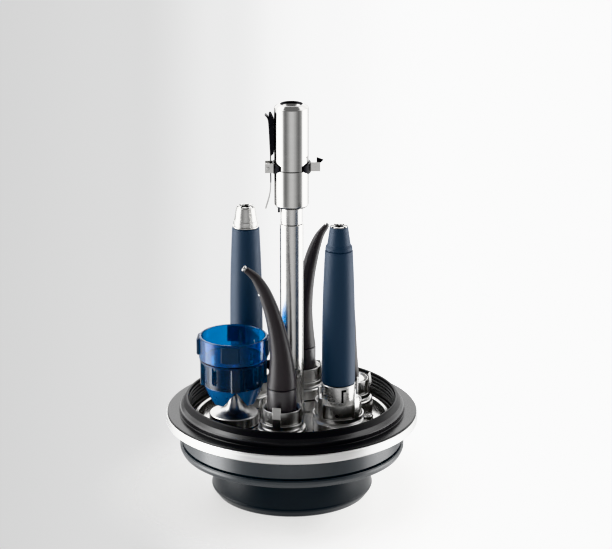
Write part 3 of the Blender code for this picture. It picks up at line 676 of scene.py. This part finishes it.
HORN_ROWS = [(73.15, 0.0, 8.1), (79.0, 0.2, 7.5), (91.0, -0.4, 6.1), (102.5, -2.1, 5.0), (114.5, -4.9, 4.2),
             (126.0, -8.9, 3.5), (133.6, -12.9, 2.7), (137.0, -15.9, 2.1), (139.5, -19.1, 1.65)]


def horn(name, bend, at):
    ca, sa = math.cos(math.radians(bend)), math.sin(math.radians(bend))
    body = name + "_handpiece"

    def swing(p):
        return Vector((-(ca * p.x - sa * p.y), -(sa * p.x + ca * p.y), p.z))

    rows = smooth_line(HORN_ROWS, 7)
    rows = [rows[0][:2] + (rows[0][2] - 0.35,), (rows[0][0] + 0.25, rows[0][1], rows[0][2] - 0.03)] + rows[1:]
    sides = 48
    bm = bmesh.new()
    rings = []
    for i, (z, off, r) in enumerate(rows):
        a, b = rows[max(i - 1, 0)], rows[min(i + 1, len(rows) - 1)]
        t = Vector((b[1] - a[1], 0.0, b[0] - a[0])).normalized() if i > 2 else Vector((0, 0, 1))
        side = t.cross(Vector((0, 1, 0))).normalized()
        ring = []
        for k in range(sides):
            w = 2 * math.pi * k / sides
            p = Vector((off, 0.0, z)) + side * r * math.cos(w) + Vector((0, 1, 0)) * r * math.sin(w)
            ring.append(bm.verts.new(swing(p) * MM))
        rings.append(ring)
    for a, b in zip(rings, rings[1:]):
        for k in range(sides):
            bm.faces.new((a[k], a[(k + 1) % sides], b[(k + 1) % sides], b[k]))
    bm.faces.new(rings[0])
    bm.faces.new(rings[-1][::-1])
    piece(name + "_horn_body", tidy(bm), HORN, body, name + "_body", at)

    # bright end: a short turned tip along the last stretch of the bend
    a, b = HORN_ROWS[-2], HORN_ROWS[-1]
    along = Vector((b[1] - a[1], 0.0, b[0] - a[0])).normalized()
    first = Vector((b[1], 0.0, b[0])) + along * 0.3
    tip = lathe([(0.0, 0.0), (1.25, 0.0, 0.1), (1.25, 0.3, 0.1), (1.68, 0.4, 0.15), (1.68, 1.1, 0.3), (1.4, 1.55, 0.25), (0.7, 1.6, 0.15),
                 (0.6, 0.9), (0.0, 0.9)], 40)
    aim = swing(along)
    place = Matrix.Translation(swing(first) * MM) @ Vector((0, 0, 1)).rotation_difference(aim).to_matrix().to_4x4()
    bmesh.ops.transform(tip, matrix=place, verts=tip.verts)
    piece(name + "_horn_tip", tip, POLISHED, body, name + "_tip", at)

    # small bright port on the hollow side of the bend
    z, off, r = 126.6, -9.2, 3.44
    t = Vector((-0.42, 0.0, 1.0)).normalized()
    out = (t.cross(Vector((0, 1, 0))).normalized() + Vector((0.0, -0.5, 0.0))).normalized()
    spot = Vector((off, 0.0, z)) + out * (r - 0.35)
    port = lathe([(0.0, 0.0), (0.95, 0.0), (0.95, 0.42, 0.12), (0.75, 0.5, 0.1), (0.0, 0.62)], 28)
    aim = swing(out)
    place = Matrix.Translation(swing(spot) * MM) @ Vector((0, 0, 1)).rotation_difference(aim).to_matrix().to_4x4()
    bmesh.ops.transform(port, matrix=place, verts=port.verts)
    piece(name + "_horn_port", port, POLISHED, body, (), at)

    # the foot takes the lighter copy of the coat, a painted light
    piece(name + "_horn_base", lathe([
        (6.6, 55.0, 0.2), (7.8, 55.0, 0.4), (8.1, 56.0, 0.4), (8.1, 72.5, 0.25), (7.85, 72.85, 0.15), (6.6, 72.85),
    ], MID), HORN_FOOT_LIT, body, name + "_base", at)
    piece(name + "_coupling_turned", lathe([
        (1.2, 52.8, 0.15), (8.6, 52.8, 0.25), (8.6, 54.5, 0.3), (5.2, 54.7, 0.4), (4.9, 55.4, 0.3), (4.9, 64.9), (4.5, 65.2, 0.1),
        (4.5, 65.6), (4.9, 65.8), (4.9, 72.2, 0.3), (4.6, 72.5), (1.2, 72.5, 0.3),
    ], SMALL), SATIN, name + "_adaptor", name + "_coupling", at)


def horn_station(name, bend, at):
    cup(name, 10.7, 13.3, 9.0, at)
    square_latch(name, 11.2, 256.0, at)
    horn(name, bend, at)


def crown(outer, inner, low, high, notches, phase, depth):
    """A toothed ring: notches are cut down from its top."""
    per = 8
    columns = notches * per
    heights = [low, low + 0.12, high - depth, high - 0.12, high]

    def place(i, j, side):
        a = phase + 360.0 * i / columns
        z = heights[j]
        shrink = 0.12 if j in (0, 4) else 0.0
        return polar(outer - shrink if side else inner + shrink, a, z)

    def keep(i, j):
        return j < 2 or not 0 <= (i + per // 2) % per - 2 < 4 - 1

    return cells(columns, len(heights), keep, place)


SLEEVE_LINE = [(9.05, 71.4), (9.05, 80.0), (9.05, 90.0), (8.9, 106.0), (8.55, 122.0), (8.1, 134.0), (7.75, 142.0), (7.55, 146.4)]


def sleeve_station(name, nose, nose_slot, turn, at, holes, slots):
    cup(name, 12.7, 14.2, 9.8, at, holes)
    post_latch(name, 13.2, 45.0, at)
    collar = lathe([
        (2.2, 52.8, 0.2), (9.3, 52.8, 0.25), (9.3, 70.8, 0.25), (9.0, 71.1, 0.2), (5.2, 71.1, 0.2), (5.2, 77.6), (4.9, 77.9),
        (4.9, 81.6), (5.2, 81.9), (5.2, 89.6, 0.3), (4.8, 90.0, 0.2), (2.2, 90.0, 0.2),
    ], MID)
    tools = []
    for k in range(3):
        a = slots + 120.0 * k
        tools.append(block((7.9, -0.6, 62.2), (10.5, 0.6, 69.6), a))
        tools.append(block((7.9, -0.6, 68.3), (10.5, 2.2, 69.6), a))
    collar = carve(collar, tools)
    for f in collar.faces:
        # the bayonet tracks are painted dark inside: painted shade in the slots
        c = f.calc_center_median() / MM
        f.material_index = 1 if 7.7 < math.hypot(c.x, c.y) < 9.2 and 62.0 < c.z < 69.8 else 0
    piece(name + "_collar_turned", collar, [SATIN, BLACKED_AND_SHADE], name + "_adaptor", name + "_collar", at)

    line = smooth_line(SLEEVE_LINE, 4)
    piece(name + "_sleeve_shell", lathe(
        [(0.0, 146.8), (7.1, 146.8, 0.3)] + [(7.55, 146.4, 0.3)] + line[-2:0:-1] +
        [(9.05, 71.75, 0.3), (8.75, 71.4, 0.2), (7.0, 71.4, 0.2), (7.0, 93.0, 0.5), (0.0, 93.0)], MID),
        NAVY, name + "_handpiece", name + "_sleeve", at)
    if nose_slot == "navy_sleeve":
        top = 159.9
        profile = [(0.0, 147.1), (7.1, 147.1, 0.15), (7.35, 147.4, 0.2), (7.15, 148.9, 0.5), (6.3, 150.1, 0.8), (4.92, top - 0.3, 0.3),
                   (4.75, top, 0.15), (3.9, top, 0.1), (3.9, 152.0), (0.0, 152.0)]
    else:
        top = 158.6
        profile = [(0.0, 147.1), (7.1, 147.1, 0.1), (7.35, 147.3, 0.12), (7.3, 147.85, 0.15), (6.5, 148.0, 0.1), (6.5, 148.6, 0.1),
                   (6.85, 148.75, 0.15), (6.75, 150.7, 0.2), (6.3, 150.9, 0.15), (5.15, top - 0.4, 0.5), (4.8, top, 0.2),
                   (3.9, top, 0.1), (3.9, 152.0), (0.0, 152.0)]
    piece(name + "_nose_cone", lathe(profile, MID), nose, name + "_handpiece", name + "_nose", at)
    toothed = crown(4.65, 3.1, top - 0.15, top + 0.5, 8, turn, 0.5)
    toothed = carve(toothed, [lathe([(2.2, 152.3, 0.2), (3.6, 152.3, 0.2), (3.6, top + 0.1, 0.1), (2.5, top + 0.1, 0.3),
                                     (2.2, top - 0.2, 0.1)], SMALL)], "UNION")
    for f in toothed.faces:
        # the bore and the gaps between the teeth are painted dark: painted shade
        c = f.calc_center_median() / MM
        out = Vector((c.x, c.y, 0.0)).normalized()
        aside = abs(f.normal.dot(out)) < 0.5 and abs(f.normal.z) < 0.5
        gap = f.normal.z > 0.7 and math.hypot(c.x, c.y) > 3.3 and c.z < top + 0.4
        f.material_index = 1 if aside or gap or math.hypot(c.x, c.y) < 2.45 else 0
    piece(name + "_nose_crown", toothed, [FASTENER, BLACKED_AND_SHADE], name + "_handpiece", name + "_insert", at)


horn_station("front", 180.0, FRONT)
sleeve_station("right", NAVY, "navy_sleeve", 270.0, RIGHT, [(0.95, 265.5, 55.8)], 283.0)
horn_station("rear", 43.0, REAR)
sleeve_station("left", SATIN, "polished_steel", 288.0, LEFT, [(0.95, 200.0, 55.8)], 43.0)

# the slim instrument at the right rear
cup("slim", 10.7, 13.3, 9.0, SLIM)
square_latch("slim", 11.2, 256.0, SLIM)
piece("slim_coupling_turned", lathe([
    (1.0, 52.8, 0.2), (8.7, 52.8, 0.3), (8.7, 60.8, 0.3), (8.3, 61.2, 0.2), (3.2, 61.2, 0.3), (3.2, 69.6, 0.3), (2.9, 70.0), (1.0, 70.0, 0.2),
], MID), SATIN, "slim_adaptor", "slim_coupling", SLIM)
slim_line = smooth_line([(5.55, 62.0), (5.3, 67.0), (4.6, 75.0), (4.15, 83.0), (3.7, 92.0), (3.2, 100.0), (2.4, 110.0), (1.8, 116.7)], 4)
piece("slim_body_shell", lathe(
    [(0.0, 117.0), (1.5, 117.0, 0.2)] + slim_line[::-1] + [(5.25, 61.5, 0.2), (3.6, 61.5, 0.1), (3.6, 70.4), (0.0, 70.4)], SMALL),
    HORN, "slim_handpiece", "slim_body", SLIM)
piece("slim_tip_turned", lathe([
    (0.0, 117.3), (1.4, 117.3, 0.2), (1.35, 118.4, 0.2), (1.1, 118.7, 0.1), (1.0, 121.2, 0.25), (0.5, 121.5, 0.1), (0.45, 120.3), (0.0, 120.3),
], 32), POLISHED, "slim_handpiece", "slim_tip", SLIM)

# =========================================================================== basket
flare = smooth_line([(12.2, 50.62), (8.2, 51.35), (5.2, 53.2), (3.5, 56.2), (2.6, 60.0), (2.3, 63.0), (2.3, 66.0)], 5)
stem = lathe([(0.0, 44.3), (13.6, 44.3, 0.25), (13.6, 50.0, 0.4), (13.1, 50.5, 0.3)] + flare +
             [(2.3, 69.0, 0.3), (1.9, 69.4, 0.2), (0.0, 69.4)], MID)
stem = carve(stem, [prism([(-0.75, 60.4), (0.75, 60.4), (0.75, 62.2), (0.4, 62.8), (-0.4, 62.8), (-0.75, 62.2)], 0.8, 5.0, 270.0)])
for f in stem.faces:
    # the small drain hole is painted dark inside and the foot's flank is a dimmer steel than the flare: both are
    # painted shade
    c = f.calc_center_median() / MM
    away = math.hypot(c.x, c.y)
    f.material_index = 1 if away < 2.2 and 60.2 < c.z < 63.0 else 2 if away > 13.4 and c.z < 49.7 else 0
piece("basket_stem_turned", stem, [STEM, BLACKED_AND_SHADE, FLANK_SHADE], LID, "basket_stem", BASKET)

LEG_ANGLE = 275.7


def leg_swell(a, r, z):
    """Four upright legs stand out from the wall below the rim."""
    if r < 15.9 or not 67.6 < z < 80.9:
        return 0.0
    off = abs((math.degrees(a) - LEG_ANGLE + 45.0) % 90.0 - 45.0) * math.radians(1.0) * 16.3
    t = min(1.0, max(0.0, (3.4 - off) / 1.3))
    return 2.0 * t * t * (3.0 - 2.0 * t)


cup_wall = lathe([
    (0.0, 71.0), (3.9, 70.8, 0.5), (4.5, 69.0, 0.3), (5.0, 68.6, 0.3), (14.5, 68.6, 0.4), (14.9, 69.4, 0.4), (14.9, 82.0, 0.2),
    (18.5, 82.0, 0.25), (18.5, 80.95, 0.25), (16.3, 80.75), (16.3, 67.75), (16.3, 67.45), (16.2, 67.1, 0.3), (12.6, 57.5, 0.35),
    (11.2, 57.5, 0.3), (14.7, 67.2, 0.3), (4.2, 67.2, 0.4), (4.2, 63.5, 0.3), (2.7, 63.5, 0.2), (2.7, 69.8, 0.2), (0.0, 69.8),
], 240, leg_swell)
tools = []
for k in range(4):
    vee = [(-8.6, 54.5), (8.6, 54.5), (2.2, 64.6), (1.0, 66.3), (0.4, 66.8), (-0.4, 66.8), (-1.0, 66.3), (-2.2, 64.6)]
    tools.append(prism(vee, 8.0, 24.0, LEG_ANGLE + 90.0 * k))
    tools.append(prism([(-1.65, 70.8), (-1.2, 70.3), (1.2, 70.3), (1.65, 70.8), (1.65, 79.7), (1.2, 80.2), (-1.2, 80.2), (-1.65, 79.7)],
                       12.5, 20.0, LEG_ANGLE - 45.0 + 90.0 * k))
cup_wall = carve(cup_wall, tools)
for f in cup_wall.faces:
    # the wall is a deeper blue than the hoop and the floor is the darkest, painted shade inside the basket; the lobes
    # below the floor are milkier and lighter than the wall, partly painted light from the dish below
    c = f.calc_center_median() / MM
    r = math.hypot(c.x, c.y)
    f.material_index = 1 if c.z < 67.3 and r > 10.8 else 2 if c.z < 68.7 and r < 14.9 else 0
piece("basket_cup_clear", cup_wall, [BLUE_WALL_SHADE, MILKY_SKIRT_LIT, UNDER_SHADE], "basket", "basket_cup", BASKET, sharp=28.0)

piece("basket_seam_gasket", lathe([
    (17.3, 82.1, 0.1), (18.45, 82.1, 0.2), (18.55, 82.4, 0.15), (18.45, 82.7, 0.2), (17.3, 82.7, 0.1),
], MID), SEAM, "basket", (), BASKET)

piece("basket_hoop_clear", lathe([
    (17.4, 82.8, 0.2), (18.9, 82.8, 0.3), (18.9, 94.9, 0.4), (18.4, 95.3, 0.25), (17.7, 95.3, 0.25), (17.4, 94.9, 0.3),
], MID), BLUE, "basket_top", "basket_ring", BASKET, sharp=28.0)
for k in range(4):
    # grip pads: each follows the hoop on its inner side and is flat outside
    steps, half = 14, 5.2

    def pad_spot(i, j, side):
        y = half * (2.0 * i / steps - 1.0)
        z = (85.2, 85.6, 89.7, 93.8, 94.2)[j]
        edge = max(0.0, abs(y) - half + 0.4)
        flat = 19.8 - (0.35 if j in (0, 4) else 0.0) - edge
        x = flat if side else math.sqrt(18.97 ** 2 - y * y)
        return Matrix.Rotation(math.radians(266.0 + 90.0 * k), 3, "Z") @ Vector((x, y, z))

    piece("basket_grip_pad_%d" % (k + 1), cells(steps + 1, 5, lambda i, j: True, pad_spot, wrap=False), FROSTED, "basket_top", (),
          BASKET, sharp=28.0)

# =========================================================================== CAD pieces that stay
for name, finish in (("knob_screw", FASTENER), ("post_nut", FASTENER), ("manifold_plate", INNER), ("dish_gasket", ORING),
                     ("front_oring", ORING), ("rear_oring", ORING), ("right_oring", ORING), ("left_oring", ORING)):
    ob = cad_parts[name]
    ob.data.materials.clear()
    ob.data.materials.append(finish)


# =========================================================================== stage, light and camera
def ramp(nt, value, stops):
    """A smooth curve through (place, level) stops; levels may be above one."""
    n = node(nt, "ShaderNodeValToRGB", {"Fac": value})
    n.color_ramp.interpolation = "EASE"
    while len(n.color_ramp.elements) < len(stops):
        n.color_ramp.elements.new(0.5)
    for element, (where, level) in zip(n.color_ramp.elements, stops):
        element.position = where
        element.color = (level / 10.0, level / 10.0, level / 10.0, 1.0)
    return math_node(nt, "MULTIPLY", n.outputs["Color"], 10.0)


def round_room(nt, value, left, right):
    """A ramp round the room; stops are degrees from the camera's side and a level."""
    stops = [(0.5 - a / 360.0, v) for a, v in reversed(left)] + [(0.5 + a / 360.0, v) for a, v in right]
    return ramp(nt, value, stops)


def step_between(nt, value, low, high):
    n = node(nt, "ShaderNodeMapRange", {"Value": value, "From Min": low, "From Max": high}, interpolation_type="SMOOTHSTEP")
    return n.outputs["Result"]


def pick_between(nt, factor, a, b):
    n = node(nt, "ShaderNodeMix", data_type="FLOAT")
    sockets = [s for s in n.inputs if s.type == "VALUE" and s.enabled]
    for socket, value in zip(sockets, (factor, a, b)):
        if isinstance(value, bpy.types.NodeSocket):
            nt.links.new(value, socket)
        else:
            socket.default_value = value
    return next(s for s in n.outputs if s.type == "VALUE" and s.enabled)


# a pale room: tall windows left and right, a light wall behind, a dim upper front and ceiling
world = bpy.data.worlds.new("studio")
scene.world = world
world.use_nodes = True
nt = world.node_tree
nt.nodes.clear()
where = node(nt, "ShaderNodeTexCoord").outputs["Generated"]
xyz = node(nt, "ShaderNodeSeparateXYZ", {0: where})
heading = math_node(nt, "ARCTAN2", xyz.outputs["X"], math_node(nt, "MULTIPLY", xyz.outputs["Y"], -1.0))
around = math_node(nt, "ADD", math_node(nt, "DIVIDE", heading, 2 * math.pi), 0.5)
rise = xyz.outputs["Z"]
low = round_room(
    nt, around,
    [(4, 0.8), (12, 0.72), (25, 0.45), (38, 0.26), (48, 0.34), (60, 1.0), (72, 3.6), (82, 5.6), (99, 5.6), (115, 1.8), (135, 0.8),
     (150, 0.5), (168, 0.45), (174, 0.95), (180, 0.95)],
    [(4, 0.8), (12, 0.76), (25, 0.58), (38, 0.36), (48, 0.24), (60, 0.34), (76, 0.9), (88, 3.8), (98, 5.0), (112, 4.0), (135, 1.3),
     (150, 0.9), (168, 0.75), (174, 0.95), (180, 0.95)])
foot = round_room(
    nt, around,
    [(4, 0.86), (40, 0.9), (58, 1.0), (72, 2.6), (80, 4.6), (94, 4.4), (112, 2.0), (135, 1.2), (160, 0.6), (172, 0.6), (180, 0.9)],
    [(4, 0.86), (40, 0.86), (62, 0.88), (78, 1.2), (88, 2.2), (110, 2.4), (128, 1.5), (140, 0.6), (172, 0.6), (180, 0.9)])
middle = round_room(
    nt, around,
    [(12, 0.3), (50, 0.25), (68, 0.6), (82, 2.2), (100, 2.2), (118, 1.2), (140, 1.5), (158, 2.0), (180, 2.1)],
    [(12, 0.3), (50, 0.25), (68, 0.5), (82, 1.6), (100, 1.6), (118, 1.1), (140, 1.4), (158, 1.8), (180, 2.1)])
high = round_room(
    nt, around,
    [(12, 0.2), (50, 0.2), (68, 1.0), (85, 4.5), (125, 4.5), (150, 1.5), (180, 0.8)],
    [(12, 0.2), (50, 0.2), (68, 0.6), (85, 1.9), (125, 1.9), (150, 1.1), (180, 0.8)])
low = pick_between(nt, step_between(nt, rise, -0.33, -0.4), low, foot)
room = pick_between(nt, step_between(nt, rise, 0.03, 0.19), low, middle)
room = pick_between(nt, step_between(nt, rise, 0.47, 0.6), room, high)
room = pick_between(nt, step_between(nt, rise, 0.8, 0.9), room, 0.24)
room = pick_between(nt, step_between(nt, rise, -0.5, -0.8), room, 0.5)
plain = ramp(nt, spread(nt, xyz.outputs["X"], -0.13, 0.06, 0.0, 1.0), [(0.0, 0.7), (0.36, 0.75), (0.55, 0.9), (0.75, 1.4), (1.0, 2.2)])
plain = pick_between(nt, step_between(nt, xyz.outputs["Y"], 0.5, 0.85), 1.0, plain)
plain = pick_between(nt, step_between(nt, xyz.outputs["X"], -0.26, -0.15), 1.0, plain)
seen = node(nt, "ShaderNodeLightPath").outputs["Is Camera Ray"]
background = node(nt, "ShaderNodeBackground", {"Color": pick_between(nt, seen, room, plain), "Strength": 1.0})
out = node(nt, "ShaderNodeOutputWorld", {"Surface": background.outputs[0]})

floor_bm = bmesh.new()
rings = []
for r in (0.0, 0.05, 0.1, 0.15, 0.2, 0.26, 0.34, 0.45):
    rings.append([floor_bm.verts.new((r * math.cos(2 * math.pi * k / 96), r * math.sin(2 * math.pi * k / 96), 0.0))
                  for k in range(96 if r else 1)])
for k in range(96):
    floor_bm.faces.new((rings[0][0], rings[1][k], rings[1][(k + 1) % 96]))
for a, b in zip(rings[1:], rings[2:]):
    for k in range(96):
        floor_bm.faces.new((a[k], b[k], b[(k + 1) % 96], a[(k + 1) % 96]))
floor_mesh = bpy.data.meshes.new("floor")
floor_bm.to_mesh(floor_mesh)
floor_bm.free()
floor = bpy.data.objects.new("floor", floor_mesh)
floor.location.z = -0.0002
scene.collection.objects.link(floor)
mat, nt, bsdf = start("pale_floor")
bsdf.inputs["Base Color"].default_value = (0.24, 0.24, 0.24, 1.0)
bsdf.inputs["Roughness"].default_value = 0.6
# the floor glows rather than being only lit, brighter towards +X: painted light that keeps it pale and washes out the
# shade under the lid
bsdf.inputs["Emission Color"].default_value = (1.0, 0.995, 0.985, 1.0)
where = node(nt, "ShaderNodeTexCoord").outputs["Object"]
across = node(nt, "ShaderNodeSeparateXYZ", {0: where}).outputs["X"]
glow = ramp(nt, spread(nt, across, -0.08, 0.1, 0.0, 1.0), [(0.0, 0.55), (0.45, 0.72), (0.75, 1.0), (1.0, 1.4)])
nt.links.new(glow, bsdf.inputs["Emission Strength"])
reach = node(nt, "ShaderNodeVectorMath", {0: where}, operation="LENGTH").outputs["Value"]
fade = node(nt, "ShaderNodeMapRange", {"Value": reach, "From Min": 0.06, "From Max": 0.12, "To Min": 0.0, "To Max": 1.0},
            interpolation_type="SMOOTHSTEP").outputs["Result"]
gone = node(nt, "ShaderNodeBsdfTransparent")
both = node(nt, "ShaderNodeMixShader", {0: fade, 1: bsdf.outputs[0], 2: gone.outputs[0]})
nt.links.new(both.outputs[0], next(n for n in nt.nodes if n.type == "OUTPUT_MATERIAL").inputs["Surface"])
floor_mesh.materials.append(mat)
floor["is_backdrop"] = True

camera = bpy.data.objects.new("camera", bpy.data.cameras.new("camera"))
scene.collection.objects.link(camera)
yaw, pitch = math.radians(-0.346), math.radians(17.74)
right = Vector((math.cos(yaw), math.sin(yaw), 0.0))
ahead = Vector((-math.sin(yaw) * math.cos(pitch), math.cos(yaw) * math.cos(pitch), -math.sin(pitch)))
up = right.cross(ahead)
eye = Vector((0.0, -1.3, 0.54186))
camera.matrix_world = Matrix(((right.x, up.x, -ahead.x, eye.x), (right.y, up.y, -ahead.y, eye.y),
                              (right.z, up.z, -ahead.z, eye.z), (0.0, 0.0, 0.0, 1.0)))
camera.data.lens, camera.data.sensor_width = 146.4, 36.0
camera.data.clip_start, camera.data.clip_end = 0.05, 50.0
scene.camera = camera

bpy.context.view_layer.update()
low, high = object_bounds()
